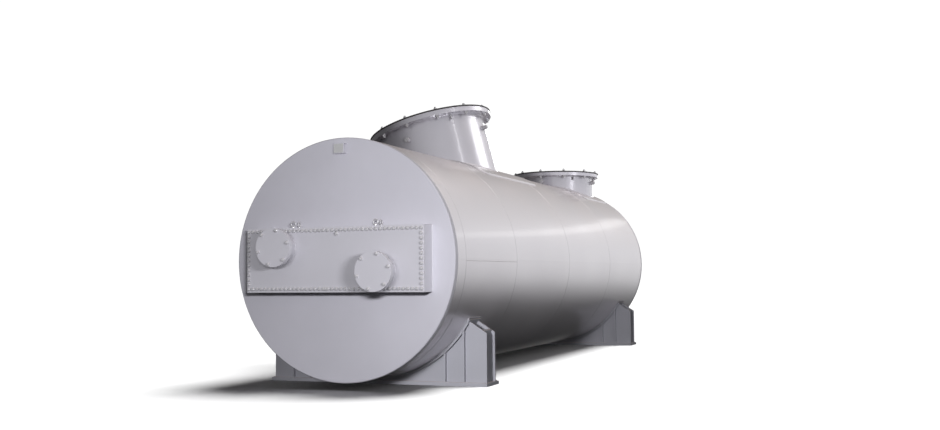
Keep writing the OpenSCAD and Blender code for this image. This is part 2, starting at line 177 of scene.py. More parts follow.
# Sprayed paint of the whole cooler, and what differs from piece to piece
silverPaint = {
    "colour": (0.60, 0.59, 0.62),
    "upTintColour": (0.64, 0.55, 0.52),
    "upTint": 0.75,
    "upTintSlope": (0.15, 0.95),  # how far a face looks up before the warmer tint shows on it
    "upTintPatches": (0.6, 1.0),
    "patchScale": 1.4,
    "patchShades": (0.965, 1.03),
    "grainScale": 260.0,
    "grainShade": 0.72,
    "grainAmount": 0.04,
    "waveScale": 1.6,
    "waveStrength": 0.05,
    "waveDepth": 0.01,
    "peelStrength": 0.03,
    "peelDepth": 0.0012,
    "edgeRadius": 0.004,
    "edgeTurn": (0.995, 0.8),
    # brighter edge colour: worn paint, and a painted highlight along each edge
    "edgeWearAndHighlight": 0.2,
    "edgeWearAndHighlightShade": 1.32,
    "roughness": 0.36,
    "roughnessDrift": (-0.04, 0.05),
    "metallic": 0.5,
    "specular": 0.5,
    "coat": 0.35,
    "coatRoughness": 0.16,
}
slotPaints = {
    "shell_paint": dict(silverPaint, colour=(0.615, 0.592, 0.632), roughness=0.38, coat=0.5,
                        coatRoughness=0.13, waveStrength=0.06, metallic=0.65),
    "end_plate_paint": dict(silverPaint, colour=(0.585, 0.575, 0.635), roughness=0.42, coat=0.06,
                            coatRoughness=0.3, waveStrength=0.02, upTint=0.2, metallic=0.02,
                            specular=0.3),
    "header_paint": dict(silverPaint, colour=(0.59, 0.58, 0.63), roughness=0.42, coat=0.1,
                         coatRoughness=0.26, waveStrength=0.02, upTint=0.35, metallic=0.04,
                         specular=0.3),
    "nozzle_paint": dict(silverPaint, colour=(0.48, 0.47, 0.52), roughness=0.3, coat=0.6,
                         coatRoughness=0.1, metallic=0.3),
    "saddle_paint": dict(silverPaint, colour=(0.5, 0.5, 0.55), roughness=0.6, coat=0.0,
                         waveStrength=0.03, metallic=0.0, specular=0.01),
    "fitting_paint": dict(silverPaint, colour=(0.53, 0.525, 0.55), edgeRadius=0.0015,
                          metallic=0.2),
}
noiseSpan = (0.3, 0.7)  # where most of a noise lies


# Soft patches, a faint grain, a warmer tint on what faces up, and brighter edges: thin worn paint
# and a painted highlight
def makePaint(name, look):
    material, tree, surface, place = newFinish(name)
    geometry = tree.nodes.new("ShaderNodeNewGeometry")
    patches = noiseNode(tree, place, look["patchScale"], detail=4.0, roughness=0.55)
    grain = noiseNode(tree, place, look["grainScale"], detail=2.0, roughness=0.6)
    waves = noiseNode(tree, place, look["waveScale"], detail=1.0, roughness=0.4)

    dim, bright = look["patchShades"]
    colour = blendNode(tree, rangeNode(tree, patches, *noiseSpan, 0.0, 1.0),
                       shade(look["colour"], dim), shade(look["colour"], bright))
    speckle = rangeNode(tree, grain, 0.35, 0.75, 0.0, look["grainAmount"])
    colour = blendNode(tree, speckle, colour, shade(look["colour"], look["grainShade"]))

    # A warmer tint where the surface looks up
    normalParts = tree.nodes.new("ShaderNodeSeparateXYZ")
    join(tree, geometry.outputs["Normal"], normalParts.inputs["Vector"])
    facingUp = rangeNode(tree, normalParts.outputs["Z"], *look["upTintSlope"], 0.0, look["upTint"])
    patchy = rangeNode(tree, patches, 0.25, 0.75, *look["upTintPatches"])
    upTinted = mathNode(tree, "MULTIPLY", facingUp, patchy)
    colour = blendNode(tree, upTinted, colour, shade(look["upTintColour"], 1.0))

    # Rounded edges catch the light; their colour is also painted brighter: thin worn paint, and a
    # painted highlight along each edge
    rounded = addNode(tree, "ShaderNodeBevel", Radius=look["edgeRadius"])
    rounded.samples = 4
    likeness = tree.nodes.new("ShaderNodeVectorMath")
    likeness.operation = "DOT_PRODUCT"
    join(tree, rounded.outputs["Normal"], likeness.inputs[0])
    join(tree, geometry.outputs["Normal"], likeness.inputs[1])
    wornAndHighlit = rangeNode(tree, likeness.outputs["Value"], *look["edgeTurn"], 0.0, look["edgeWearAndHighlight"])
    colour = blendNode(tree, wornAndHighlit, colour, shade(look["colour"], look["edgeWearAndHighlightShade"]))
    join(tree, colour, surface.inputs["Base Color"])

    roughness = (look["roughness"] + drift for drift in look["roughnessDrift"])
    join(tree, rangeNode(tree, patches, *noiseSpan, *roughness), surface.inputs["Roughness"])
    wavy = bumpNode(tree, waves, look["waveStrength"], look["waveDepth"], rounded.outputs["Normal"])
    peel = bumpNode(tree, grain, look["peelStrength"], look["peelDepth"], wavy)
    join(tree, peel, surface.inputs["Normal"])
    surface.inputs["Metallic"].default_value = look["metallic"]
    surface.inputs["Specular IOR Level"].default_value = look["specular"]
    surface.inputs["Coat Weight"].default_value = look["coat"]
    surface.inputs["Coat Roughness"].default_value = look["coatRoughness"]
    return material


# Dull dark sheet on the gas flanges: mottled, with pale rub marks along one way
coverSheet = {
    "dark": (0.022, 0.019, 0.021),
    "pale": (0.075, 0.07, 0.072),
    "mottleScale": 7.0,
    "mottleAmount": 0.7,
    "rubStretch": (3.0, 90.0, 3.0),
    "rubScale": 2.0,
    "rubAmount": 0.35,
    "rubShade": 2.2,
    "roughness": (0.45, 0.7),
    "dentStrength": 0.2,
    "dentDepth": 0.002,
}


def makeCoverSheet(name, look):
    material, tree, surface, place = newFinish(name)
    mottle = noiseNode(tree, place, look["mottleScale"], detail=6.0, roughness=0.65)
    along = stretchNode(tree, place, look["rubStretch"])
    rubs = noiseNode(tree, along, look["rubScale"], detail=3.0, roughness=0.7)
    mottled = rangeNode(tree, mottle, 0.3, 0.75, 0.0, look["mottleAmount"])
    rubbed = rangeNode(tree, rubs, 0.62, 0.8, 0.0, look["rubAmount"])
    colour = blendNode(tree, mottled, shade(look["dark"], 1.0), shade(look["pale"], 1.0))
    colour = blendNode(tree, rubbed, colour, shade(look["pale"], look["rubShade"]))
    join(tree, colour, surface.inputs["Base Color"])
    roughness = rangeNode(tree, mottle, *noiseSpan, *look["roughness"])
    join(tree, roughness, surface.inputs["Roughness"])
    dents = bumpNode(tree, mottle, look["dentStrength"], look["dentDepth"])
    join(tree, dents, surface.inputs["Normal"])
    return material


# Bare tag metal, brushed along its length
tagMetal = {
    "colour": (0.55, 0.55, 0.56),
    "shades": (0.9, 1.08),
    "brushStretch": (6.0, 400.0, 400.0),
    "brushScale": 4.0,
    "roughness": (0.32, 0.48),
    "scratchStrength": 0.1,
    "scratchDepth": 0.0005,
    "metallic": 0.6,
}


def makeTagMetal(name, look):
    material, tree, surface, place = newFinish(name)
    along = stretchNode(tree, place, look["brushStretch"])
    brush = noiseNode(tree, along, look["brushScale"], detail=3.0, roughness=0.6)
    dim, bright = look["shades"]
    colour = blendNode(tree, rangeNode(tree, brush, *noiseSpan, 0.0, 1.0),
                       shade(look["colour"], dim), shade(look["colour"], bright))
    join(tree, colour, surface.inputs["Base Color"])
    roughness = rangeNode(tree, brush, *noiseSpan, *look["roughness"])
    join(tree, roughness, surface.inputs["Roughness"])
    scratches = bumpNode(tree, brush, look["scratchStrength"], look["scratchDepth"])
    join(tree, scratches, surface.inputs["Normal"])
    surface.inputs["Metallic"].default_value = look["metallic"]
    return material


finishes = {slot: makePaint(slot + "Finish", look) for slot, look in slotPaints.items()}
finishes["dark_cover"] = makeCoverSheet("darkCoverFinish", coverSheet)
finishes["plate_metal"] = makeTagMetal("plateMetalFinish", tagMetal)
for part in frame["record"]["subparts"]:
    slotted = nodes[part["node"]]
    slotted.data.materials.clear()
    slotted.data.materials.append(finishes[part["material_slot"]])


# Geometry Nodes helpers
def newTree(name, inputs):
    tree = bpy.data.node_groups.new(name, "GeometryNodeTree")
    kinds = {int: "NodeSocketInt", float: "NodeSocketFloat", str: "NodeSocketGeometry"}
    for label, value in inputs.items():
        kind = "NodeSocketMaterial" if value is None else kinds[type(value)]
        socket = tree.interface.new_socket(label, in_out="INPUT", socket_type=kind)
        if isinstance(value, (int, float)):
            socket.default_value = value
    tree.interface.new_socket("Geometry", in_out="OUTPUT", socket_type="NodeSocketGeometry")
    return tree, tree.nodes.new("NodeGroupInput").outputs, tree.nodes.new("NodeGroupOutput")


# Every tree ends in a plain mesh with its finish on it
def closeTree(tree, shape, sizes, result):
    real = tree.nodes.new("GeometryNodeRealizeInstances")
    join(tree, shape, real.inputs["Geometry"])
    finish = tree.nodes.new("GeometryNodeSetMaterial")
    join(tree, real.outputs["Geometry"], finish.inputs["Geometry"])
    join(tree, sizes["Finish"], finish.inputs["Material"])
    join(tree, finish.outputs["Geometry"], result.inputs["Geometry"])


def placeNode(tree, shape, height):
    offset = tree.nodes.new("ShaderNodeCombineXYZ")
    join(tree, height, offset.inputs["Z"])
    move = tree.nodes.new("GeometryNodeTransform")
    join(tree, shape, move.inputs["Geometry"])
    join(tree, offset.outputs["Vector"], move.inputs["Translation"])
    return move.outputs["Geometry"]


def discNode(tree, sides, radius, height, middle):
    disc = addNode(tree, "GeometryNodeMeshCylinder", Vertices=sides)
    join(tree, radius, disc.inputs["Radius"])
    join(tree, height, disc.inputs["Depth"])
    return placeNode(tree, disc.outputs["Mesh"], middle)


# One nut on its washer, standing on z = 0, with the end of the bolt showing past it
nutForm = {
    "sides": 6,
    "washerSides": 16,
    "shankSides": 10,
    "bodyShare": 0.82,  # of the nut's height, under the crown
    "crownShare": 0.18,
    "crownTaper": 0.84,
}
nutInputs = {
    "Nut Radius": 0.02,
    "Nut Height": 0.016,
    "Washer Radius": 0.022,
    "Washer Height": 0.003,
    "Bolt Radius": 0.01,
    "Tip": 0.005,
    "Seed": 1,
    "Finish": None,
}


def nutShape(tree, sizes, form):
    washerTop = sizes["Washer Height"]
    washer = discNode(tree, form["washerSides"], sizes["Washer Radius"], washerTop,
                      mathNode(tree, "MULTIPLY", washerTop, 0.5))
    bodyHeight = mathNode(tree, "MULTIPLY", sizes["Nut Height"], form["bodyShare"])
    bodyMiddle = mathNode(tree, "ADD", washerTop, mathNode(tree, "MULTIPLY", bodyHeight, 0.5))
    body = discNode(tree, form["sides"], sizes["Nut Radius"], bodyHeight, bodyMiddle)
    crown = addNode(tree, "GeometryNodeMeshCone", Vertices=form["sides"])
    crownTop = mathNode(tree, "MULTIPLY", sizes["Nut Radius"], form["crownTaper"])
    crownHeight = mathNode(tree, "MULTIPLY", sizes["Nut Height"], form["crownShare"])
    join(tree, sizes["Nut Radius"], crown.inputs["Radius Bottom"])
    join(tree, crownTop, crown.inputs["Radius Top"])
    join(tree, crownHeight, crown.inputs["Depth"])
    bodyTop = mathNode(tree, "ADD", washerTop, bodyHeight)
    crownPlace = placeNode(tree, crown.outputs["Mesh"], bodyTop)
    pastNut = mathNode(tree, "ADD", washerTop, sizes["Tip"])
    reach = mathNode(tree, "ADD", sizes["Nut Height"], pastNut)
    shank = discNode(tree, form["shankSides"], sizes["Bolt Radius"], reach,
                     mathNode(tree, "MULTIPLY", reach, 0.5))
    whole = tree.nodes.new("GeometryNodeJoinGeometry")
    for shape in (washer, body, crownPlace, shank):
        join(tree, shape, whole.inputs["Geometry"])
    return whole.outputs["Geometry"]


# Puts the nut on every point, each turned its own way, and closes the tree
def scatterNuts(tree, points, sizes, result):
    turn = tree.nodes.new("FunctionNodeRandomValue")
    turn.data_type = "FLOAT"
    turn.inputs[3].default_value = math.tau / nutForm["sides"]  # Max of the float kind
    join(tree, sizes["Seed"], turn.inputs["Seed"])
    angle = tree.nodes.new("ShaderNodeCombineXYZ")
    join(tree, turn.outputs[1], angle.inputs["Z"])
    spread = tree.nodes.new("GeometryNodeInstanceOnPoints")
    join(tree, points, spread.inputs["Points"])
    join(tree, nutShape(tree, sizes, nutForm), spread.inputs["Instance"])
    join(tree, angle.outputs["Vector"], spread.inputs["Rotation"])
    closeTree(tree, spread.outputs["Instances"], sizes, result)


def nutRingTree():
    ringInputs = {"Count": 12, "Circle Radius": 0.5, "Start": 0.0}
    tree, sizes, result = newTree("nutRing", dict(ringInputs, **nutInputs))
    ring = tree.nodes.new("GeometryNodeMeshCircle")
    join(tree, sizes["Count"], ring.inputs["Vertices"])
    join(tree, sizes["Circle Radius"], ring.inputs["Radius"])
    turned = tree.nodes.new("GeometryNodeTransform")
    angle = tree.nodes.new("ShaderNodeCombineXYZ")
    join(tree, sizes["Start"], angle.inputs["Z"])
    join(tree, ring.outputs["Mesh"], turned.inputs["Geometry"])
    join(tree, angle.outputs["Vector"], turned.inputs["Rotation"])
    scatterNuts(tree, turned.outputs["Geometry"], sizes, result)
    return tree


def nutFrameTree():
    frameInputs = {"Count": 104, "Width": 1.9, "Height": 0.6}
    tree, sizes, result = newTree("nutFrame", dict(frameInputs, **nutInputs))
    outline = tree.nodes.new("GeometryNodeCurvePrimitiveQuadrilateral")
    join(tree, sizes["Width"], outline.inputs["Width"])
    join(tree, sizes["Height"], outline.inputs["Height"])
    steps = tree.nodes.new("GeometryNodeCurveToPoints")
    join(tree, outline.outputs["Curve"], steps.inputs["Curve"])
    join(tree, sizes["Count"], steps.inputs["Count"])
    scatterNuts(tree, steps.outputs["Points"], sizes, result)
    return tree


# Nuts on the loose points of a mesh
def nutSpotsTree():
    tree, sizes, result = newTree("nutSpots", dict({"Geometry": ""}, **nutInputs))
    scatterNuts(tree, sizes["Geometry"], sizes, result)
    return tree


# A bead of weld along the edges of a wire mesh, with a slow ripple
weldForm = {"sides": 8, "rippleScale": 45.0}
weldInputs = {
    "Geometry": "",
    "Bead Radius": 0.005,
    "Step": 0.02,
    "Ripple": 0.001,
    "Seed": 1,
    "Finish": None,
}


def weldTree(form):
    tree, sizes, result = newTree("weldBead", weldInputs)
    path = tree.nodes.new("GeometryNodeMeshToCurve")
    join(tree, sizes["Geometry"], path.inputs["Mesh"])
    even = tree.nodes.new("GeometryNodeResampleCurve")
    even.mode = "LENGTH"
    join(tree, path.outputs["Curve"], even.inputs["Curve"])
    join(tree, sizes["Step"], even.inputs["Length"])
    section = addNode(tree, "GeometryNodeCurvePrimitiveCircle", Resolution=form["sides"])
    join(tree, sizes["Bead Radius"], section.inputs["Radius"])
    bead = addNode(tree, "GeometryNodeCurveToMesh", Fill_Caps=True)
    join(tree, even.outputs["Curve"], bead.inputs["Curve"])
    join(tree, section.outputs["Curve"], bead.inputs["Profile Curve"])
    noise = tree.nodes.new("ShaderNodeTexNoise")
    noise.noise_dimensions = "4D"
    noise.inputs["Scale"].default_value = form["rippleScale"]
    position = tree.nodes.new("GeometryNodeInputPosition").outputs["Position"]
    join(tree, position, noise.inputs["Vector"])
    join(tree, sizes["Seed"], noise.inputs["W"])
    swing = mathNode(tree, "SUBTRACT", noise.outputs["Fac"], 0.5)
    push = tree.nodes.new("ShaderNodeVectorMath")
    push.operation = "SCALE"
    outward = tree.nodes.new("GeometryNodeInputNormal").outputs["Normal"]
    join(tree, outward, push.inputs[0])
    join(tree, mathNode(tree, "MULTIPLY", swing, sizes["Ripple"]), push.inputs["Scale"])
    rippled = tree.nodes.new("GeometryNodeSetPosition")
    join(tree, bead.outputs["Mesh"], rippled.inputs["Geometry"])
    join(tree, push.outputs["Vector"], rippled.inputs["Offset"])
    smooth = tree.nodes.new("GeometryNodeSetShadeSmooth")
    join(tree, rippled.outputs["Geometry"], smooth.inputs["Geometry"])
    closeTree(tree, smooth.outputs["Geometry"], sizes, result)
    return tree


nutRing = nutRingTree()
nutFrame = nutFrameTree()
nutSpots = nutSpotsTree()
weldBead = weldTree(weldForm)
print("trees built")


def growMesh(tree, values, start=None):
    holder = bpy.data.objects.new("holder", start or bpy.data.meshes.new("holder"))
    scene.collection.objects.link(holder)
    modifier = holder.modifiers.new("shape", "NODES")
    modifier.node_group = tree
    for item in tree.interface.items_tree:
        if item.in_out == "INPUT" and item.name in values:
            modifier[item.identifier] = values[item.name]
    grown = holder.evaluated_get(bpy.context.evaluated_depsgraph_get())
    mesh = bpy.data.meshes.new_from_object(grown)
    holder.modifiers.remove(modifier)
    bpy.data.objects.remove(holder)
    return mesh


# Joins placed meshes into one piece that rides on the cooler
def addPiece(name, placed, slot):
    gathered = bmesh.new()
    for mesh, place in placed:
        mesh.transform(place)
        gathered.from_mesh(mesh)
        bpy.data.meshes.remove(mesh)
    whole = bpy.data.meshes.new(name)
    gathered.to_mesh(whole)
    gathered.free()
    whole.materials.append(finishes[slot])
    piece = bpy.data.objects.new(name, whole)
    scene.collection.objects.link(piece)
    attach(piece, "root")


# A turn that carries +Z to the given axis, with +X kept level across the shell
def facing(position, axis):
    out = Vector(axis).normalized()
    level = Vector((0.0, 1.0, 0.0)).cross(out)
    level = level.normalized() if level.length > 1e-4 else Vector((1.0, 0.0, 0.0))
    turn = Matrix((level, out.cross(level), out)).transposed()
    return Matrix.Translation(position) @ turn.to_4x4()


toFront = (0.0, -1.0, 0.0)
toRear = (0.0, 1.0, 0.0)


def boxOf(node):
    low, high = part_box(node)
    return low, high, (low + high) / 2


# The middle of a node's front face, looking to the front
def frontFace(node):
    low, _, middle = boxOf(node)
    return facing((middle.x, low.y, middle.z), toFront)


# Bolts of the header cover
headerBolts = {
    "along": 40,
    "up": 12,
    "pitch": 0.049,
    "nutRadius": 0.0173,
    "nutHeight": 0.015,
    "washerRadius": 0.0185,
    "washerHeight": 0.003,
    "boltRadius": 0.009,
    "tip": 0.004,
    "seed": 3,
}


def nutSizes(size):
    return {
        "Nut Radius": size["nutRadius"],
        "Nut Height": size["nutHeight"],
        "Washer Radius": size["washerRadius"],
        "Washer Height": size["washerHeight"],
        "Bolt Radius": size["boltRadius"],
        "Tip": size["tip"],
        "Seed": size["seed"],
        "Finish": finishes["fitting_paint"],
    }


def addHeaderBolts(size):
    mesh = growMesh(nutFrame, dict(nutSizes(size), **{
        "Count": 2 * (size["along"] + size["up"]),
        "Width": size["along"] * size["pitch"],
        "Height": size["up"] * size["pitch"],
    }))
    addPiece("headerCoverBolts", [(mesh, frontFace("header_cover"))], "fitting_paint")


addHeaderBolts(headerBolts)

# Vent and drain plugs in the header cover, on round collars
headerPlugs = {
    "spots": ((0.049, 0.256), (-0.079, -0.294)),
    "nutRadius": 0.017,
    "nutHeight": 0.014,
    "washerRadius": 0.022,
    "washerHeight": 0.006,
    "boltRadius": 0.008,
    "tip": 0.003,
    "seed": 5,
}


def addHeaderPlugs(size):
    spots = bpy.data.meshes.new("plugSpots")
    spots.from_pydata([(across, up, 0.0) for across, up in size["spots"]], [], [])
    mesh = growMesh(nutSpots, nutSizes(size), spots)
    addPiece("headerPlugs", [(mesh, frontFace("header_cover"))], "fitting_paint")


addHeaderPlugs(headerPlugs)

# Bolts through the flanges and what closes them, with a nut on both sides
waterBolts = {
    "every": 2,
    "nutRadius": 0.0173,
    "nutHeight": 0.014,
    "washerRadius": 0.019,
    "washerHeight": 0.003,
    "boltRadius": 0.01,
    "tip": 0.006,
    "seed": 7,
}
gasBolts = {
    "every": 4,
    "nutRadius": 0.0235,
    "nutHeight": 0.021,
    "washerRadius": 0.026,
    "washerHeight": 0.004,
    "boltRadius": 0.0135,
    "tip": 0.014,
    "seed": 11,
}
gasFlanges = {"gas_inlet": 0.062, "gas_outlet": 0.056}  # thickness
# Turn of the first bolt, half a hole pitch where no hole lies on the level
firstBolts = {"water": math.pi / 12, "gas_inlet": 0.0, "gas_outlet": math.pi / 44}


def addFlangeBolts(name, mountName, start, closing, flange, size):
    mount = mounts[mountName]
    out = Vector(mount["axis"])
    joint = Vector(mount["pos_m"])
    flip = Matrix.Rotation(math.pi, 4, "X")
    outside = facing(joint + out * closing, out)
    inside = facing(joint - out * flange, out) @ flip
    placed = []
    for turn, place in ((start, outside), (-start, inside)):
        mesh = growMesh(nutRing, dict(nutSizes(size), **{
            "Count": mount["dims"]["count"] // size["every"],
            "Circle Radius": mount["dims"]["pcd_mm"] / 2000,  # from a diameter in mm
            "Start": turn,
        }))
        placed.append((mesh, place))
    addPiece(name, placed, "fitting_paint")


for side in ("upper", "lower"):
    blankLow, blankHigh = boxOf(side + "_water_blank")[:2]
    flangeLow, flangeHigh = boxOf(side + "_water_flange")[:2]
    addFlangeBolts(side + "WaterBolts", side + "_water_bolts", firstBolts["water"],
                   blankHigh.y - blankLow.y, flangeHigh.y - flangeLow.y, waterBolts)
sheetLow, sheetHigh = boxOf("gas_outlet_cover")[:2]
sheet = sheetHigh.z - sheetLow.z
for boltName, nozzle in (("gasInletBolts", "gas_inlet"), ("gasOutletBolts", "gas_outlet")):
    addFlangeBolts(boltName, nozzle + "_bolts", firstBolts[nozzle], sheet, gasFlanges[nozzle],
                   gasBolts)
print("bolts added")

ringLow, ringHigh, ringMiddle = boxOf("shell_front_ring")
shell = {"radius": (ringHigh.x - ringLow.x) / 2, "axisZ": ringMiddle.z, "pad": 0.016}
lift = 0.001  # of a weld's middle off the face it lies on


# Wire paths for the welds
def wireMesh(paths):
    points, edges = [], []
    for path, closed in paths:
        first = len(points)
        points.extend(path)
        edges.extend((first + i, first + i + 1) for i in range(len(path) - 1))
        if closed:
            edges.append((len(points) - 1, first))
    mesh = bpy.data.meshes.new("weldPath")
    mesh.from_pydata([tuple(point) for point in points], edges, [])
    return mesh


def circlePath(place, radius, steps=144):
    turns = (math.tau * i / steps for i in range(steps))
    return [place @ Vector((radius * math.cos(t), radius * math.sin(t), 0.0)) for t in turns]


# An arc round the shell axis, measured from straight down
def shellArc(y, radius, fromAngle, toAngle, steps=72):
    path = []
    for i in range(steps + 1):
        angle = fromAngle + (toAngle - fromAngle) * i / steps
        z = shell["axisZ"] - radius * math.cos(angle)
        path.append(Vector((radius * math.sin(angle), y, z)))
    return path


def addWelds(name, paths, slot, weld, seed):
    mesh = growMesh(weldBead, {
        "Bead Radius": weld["bead"],
        "Step": weld["step"],
        "Ripple": weld["ripple"],
        "Seed": seed,
        "Finish": finishes[slot],
    }, wireMesh(paths))
    addPiece(name, [(mesh, Matrix())], slot)


# Round seams behind the front plate and between the courses, and one long seam in each course
shellSeams = {
    "bead": 0.0045,
    "ripple": 0.0012,
    "step": 0.022,
    "sunk": 0.0027,
    "roundSteps": 240,
    "longSteps": 8,
    "seed": 1,
}
roundSeams = ("front_end_plate", "shell_front_ring", "shell_course_1", "shell_course_2",
              "shell_course_3", "shell_course_4")
longSeams = {  # degrees from straight down, round to the right
    "shell_front_ring": 126,
    "shell_course_1": 89,
    "shell_course_2": -52,
    "shell_course_3": -74,
    "shell_course_4": -50,
}


def addShellSeams(size):
    radius = shell["radius"] - size["sunk"]
    paths = []
    for node in roundSeams:
        end = boxOf(node)[1].y
        place = facing((0.0, end, shell["axisZ"]), toRear)
        paths.append((circlePath(place, radius, size["roundSteps"]), True))
    steps = size["longSteps"]
    for node, bearing in longSeams.items():
        low, high = boxOf(node)[:2]
        angle = math.radians(bearing)
        x, z = radius * math.sin(angle), shell["axisZ"] - radius * math.cos(angle)
        run = [Vector((x, low.y + (high.y - low.y) * i / steps, z)) for i in range(steps + 1)]
        paths.append((run, False))
    addWelds("shellSeams", paths, "shell_paint", size, size["seed"])


addShellSeams(shellSeams)

# Welds of the gas nozzles: neck to pad, round the pad, and under the flange
nozzles = {
    "gas_inlet": {
        "lean": -15.2, "neck": 0.71, "padX": 0.93, "padY": 1.0, "corner": 0.12,
        "rootSeed": 21, "padSeed": 31, "flangeSeed": 41,
    },
    "gas_outlet": {
        "lean": 0.0, "neck": 0.61, "padX": 0.7, "padY": 0.715, "corner": 0.12,
        "rootSeed": 22, "padSeed": 32, "flangeSeed": 42,
    },
}
rootWeld = {"bead": 0.013, "ripple": 0.003, "step": 0.022, "off": 0.003, "pathSteps": 180}
padWeld = {"bead": 0.009, "ripple": 0.002, "step": 0.022, "pathStep": 0.05}
flangeWeld = {"bead": 0.009, "ripple": 0.002, "step": 0.022}


def roundedRectangle(halfX, halfY, corner, steps=10):
    path = []
    for quarter, (sx, sy) in enumerate(((1, 1), (-1, 1), (-1, -1), (1, -1))):
        for i in range(steps + 1):
            turn = math.radians(90 * quarter + 90 * i / steps)
            path.append((sx * (halfX - corner) + corner * math.cos(turn),
                         sy * (halfY - corner) + corner * math.sin(turn)))
    return path


# Where the neck meets the round of the pad
def neckRoot(place, neck):
    radius, outer = neck + rootWeld["off"], shell["radius"] + shell["pad"]
    path = []
    for i in range(rootWeld["pathSteps"]):
        turn = math.tau * i / rootWeld["pathSteps"]
        x, y = radius * math.cos(turn), radius * math.sin(turn)
        path.append(place @ Vector((x, y, math.sqrt(outer ** 2 - x ** 2) + lift)))
    return path


# Where the rim of the pad meets the round of the shell
def padRim(place, size):
    outer = shell["radius"] + lift
    corners = roundedRectangle(size["padX"], size["padY"], size["corner"])
    path = []
    for i, (x, y) in enumerate(corners):
        nextX, nextY = corners[(i + 1) % len(corners)]
        steps = max(1, int(math.hypot(nextX - x, nextY - y) / padWeld["pathStep"]))
        for k in range(steps):
            px, py = x + (nextX - x) * k / steps, y + (nextY - y) * k / steps
            path.append(place @ Vector((px, py, math.sqrt(outer ** 2 - px ** 2))))
    return path


def addNozzleWelds(name, size):
    mount = mounts[name + "_bolts"]
    out, joint = Vector(mount["axis"]), Vector(mount["pos_m"])
    lean = Matrix.Rotation(math.radians(size["lean"]), 4, "Y")
    place = Matrix.Translation((0.0, joint.y, shell["axisZ"])) @ lean
    root = neckRoot(place, size["neck"])
    rim = padRim(place, size)
    under = circlePath(facing(joint - out * (gasFlanges[name] + lift), out), size["neck"] + lift)
    addWelds(name + "RootWeld", [(root, True)], "nozzle_paint", rootWeld, size["rootSeed"])
    addWelds(name + "PadWeld", [(rim, True)], "shell_paint", padWeld, size["padSeed"])
    addWelds(name + "FlangeWeld", [(under, True)], "nozzle_paint", flangeWeld, size["flangeSeed"])


for nozzle, nozzleSize in nozzles.items():
    addNozzleWelds(nozzle, nozzleSize)

# Round dark bead on the covers of the gas flanges: the dark rim of each cover, made wider than the
# sheet is thick to stand in for the shade along the flange's top edge (painted shade)
coverRimAndShade = {"bead": 0.01, "ripple": 0.0, "step": 0.022, "seed": 61}


def addCoverRimAndShade(name, size):
    mount = mounts[name + "_bolts"]
    out, joint = Vector(mount["axis"]), Vector(mount["pos_m"])
    low, high = boxOf(name + "_cover")[:2]
    rim = circlePath(facing(joint + out * sheet / 2, out), (high.y - low.y) / 2)
    addWelds(name + "CoverEdging", [(rim, True)], "dark_cover", size, size["seed"])


for nozzle in nozzles:
    addCoverRimAndShade(nozzle, coverRimAndShade)

# Welds of the header: frame to end plate, and the water pipes to the cover and to their flanges
headerWeld = {"bead": 0.007, "ripple": 0.0016, "step": 0.016, "pipeSteps": 72, "seed": 41}


def addHeaderWelds(size):
    low, high = boxOf("header_frame")[:2]
    corners = ((low.x, low.z), (high.x, low.z), (high.x, high.z), (low.x, high.z))
    paths = [([Vector((x, high.y - lift, z)) for x, z in corners], True)]
    for side in ("upper", "lower"):
        neckLow, neckHigh, middle = boxOf(side + "_water_neck")
        radius = (neckHigh.x - neckLow.x) / 2 + lift
        for y in (neckHigh.y, neckLow.y):
            place = facing((middle.x, y, middle.z), toRear)
            paths.append((circlePath(place, radius, size["pipeSteps"]), True))
    addWelds("headerWelds", paths, "header_paint", size, size["seed"])


addHeaderWelds(headerWeld)

# Welds of a saddle: wear plate to shell, webs to wear plate, and webs to base
saddleWeld = {"bead": 0.008, "ripple": 0.0016, "step": 0.022, "wrapShare": 0.96, "baseSteps": 24}
saddleSeeds = {"front_saddle": 51, "rear_saddle": 52}


def addSaddleWelds(name, size, seed):
    wearLow, wearHigh = boxOf(name + "_wear_plate")[:2]
    baseTop = boxOf(name + "_base")[1].z
    wearOuter = shell["axisZ"] - wearLow.z
    wrap = math.pi - math.acos((wearHigh.z - shell["axisZ"]) / wearOuter)
    rim = shellArc(wearLow.y, shell["radius"] + lift, -wrap, wrap)
    rim += shellArc(wearHigh.y, shell["radius"] + lift, wrap, -wrap)
    paths = [(rim, True)]
    steps = size["baseSteps"]
    for web, face in (("_front_web", 0), ("_rear_web", 1)):
        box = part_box(name + web)
        webEdge, left, right = box[face].y, box[0].x, box[1].x
        reach = wrap * size["wrapShare"]
        if right < wearOuter:
            reach = min(reach, math.asin(right / wearOuter))
        paths.append((shellArc(webEdge, wearOuter, -reach, reach), False))
        run = [Vector((left + (right - left) * i / steps, webEdge, baseTop))
               for i in range(steps + 1)]
        paths.append((run, False))
    addWelds(name + "Welds", paths, "saddle_paint", size, seed)


for saddle, saddleSeed in saddleSeeds.items():
    addSaddleWelds(saddle, saddleWeld, saddleSeed)
print("welds added")

# Rivets at the corners of the bare nameplate
rivets = {"edge": 0.012, "radius": 0.0045, "flatten": 0.6, "segments": 12, "rings": 8}


def rivetTree(form):
    rivetInputs = {"Width": 0.2, "Height": 0.1, "Head Radius": 0.004, "Finish": None}
    tree, sizes, result = newTree("rivetCorners", rivetInputs)
    grid = addNode(tree, "GeometryNodeMeshGrid", Vertices_X=2, Vertices_Y=2)
    join(tree, sizes["Width"], grid.inputs["Size X"])
    join(tree, sizes["Height"], grid.inputs["Size Y"])
    dome = addNode(tree, "GeometryNodeMeshUVSphere", Segments=form["segments"], Rings=form["rings"])
    join(tree, sizes["Head Radius"], dome.inputs["Radius"])
    flat = addNode(tree, "GeometryNodeTransform", Scale=(1.0, 1.0, form["flatten"]))
    join(tree, dome.outputs["Mesh"], flat.inputs["Geometry"])
    spread = tree.nodes.new("GeometryNodeInstanceOnPoints")
    join(tree, grid.outputs["Mesh"], spread.inputs["Points"])
    join(tree, flat.outputs["Geometry"], spread.inputs["Instance"])
    closeTree(tree, spread.outputs["Instances"], sizes, result)
    return tree


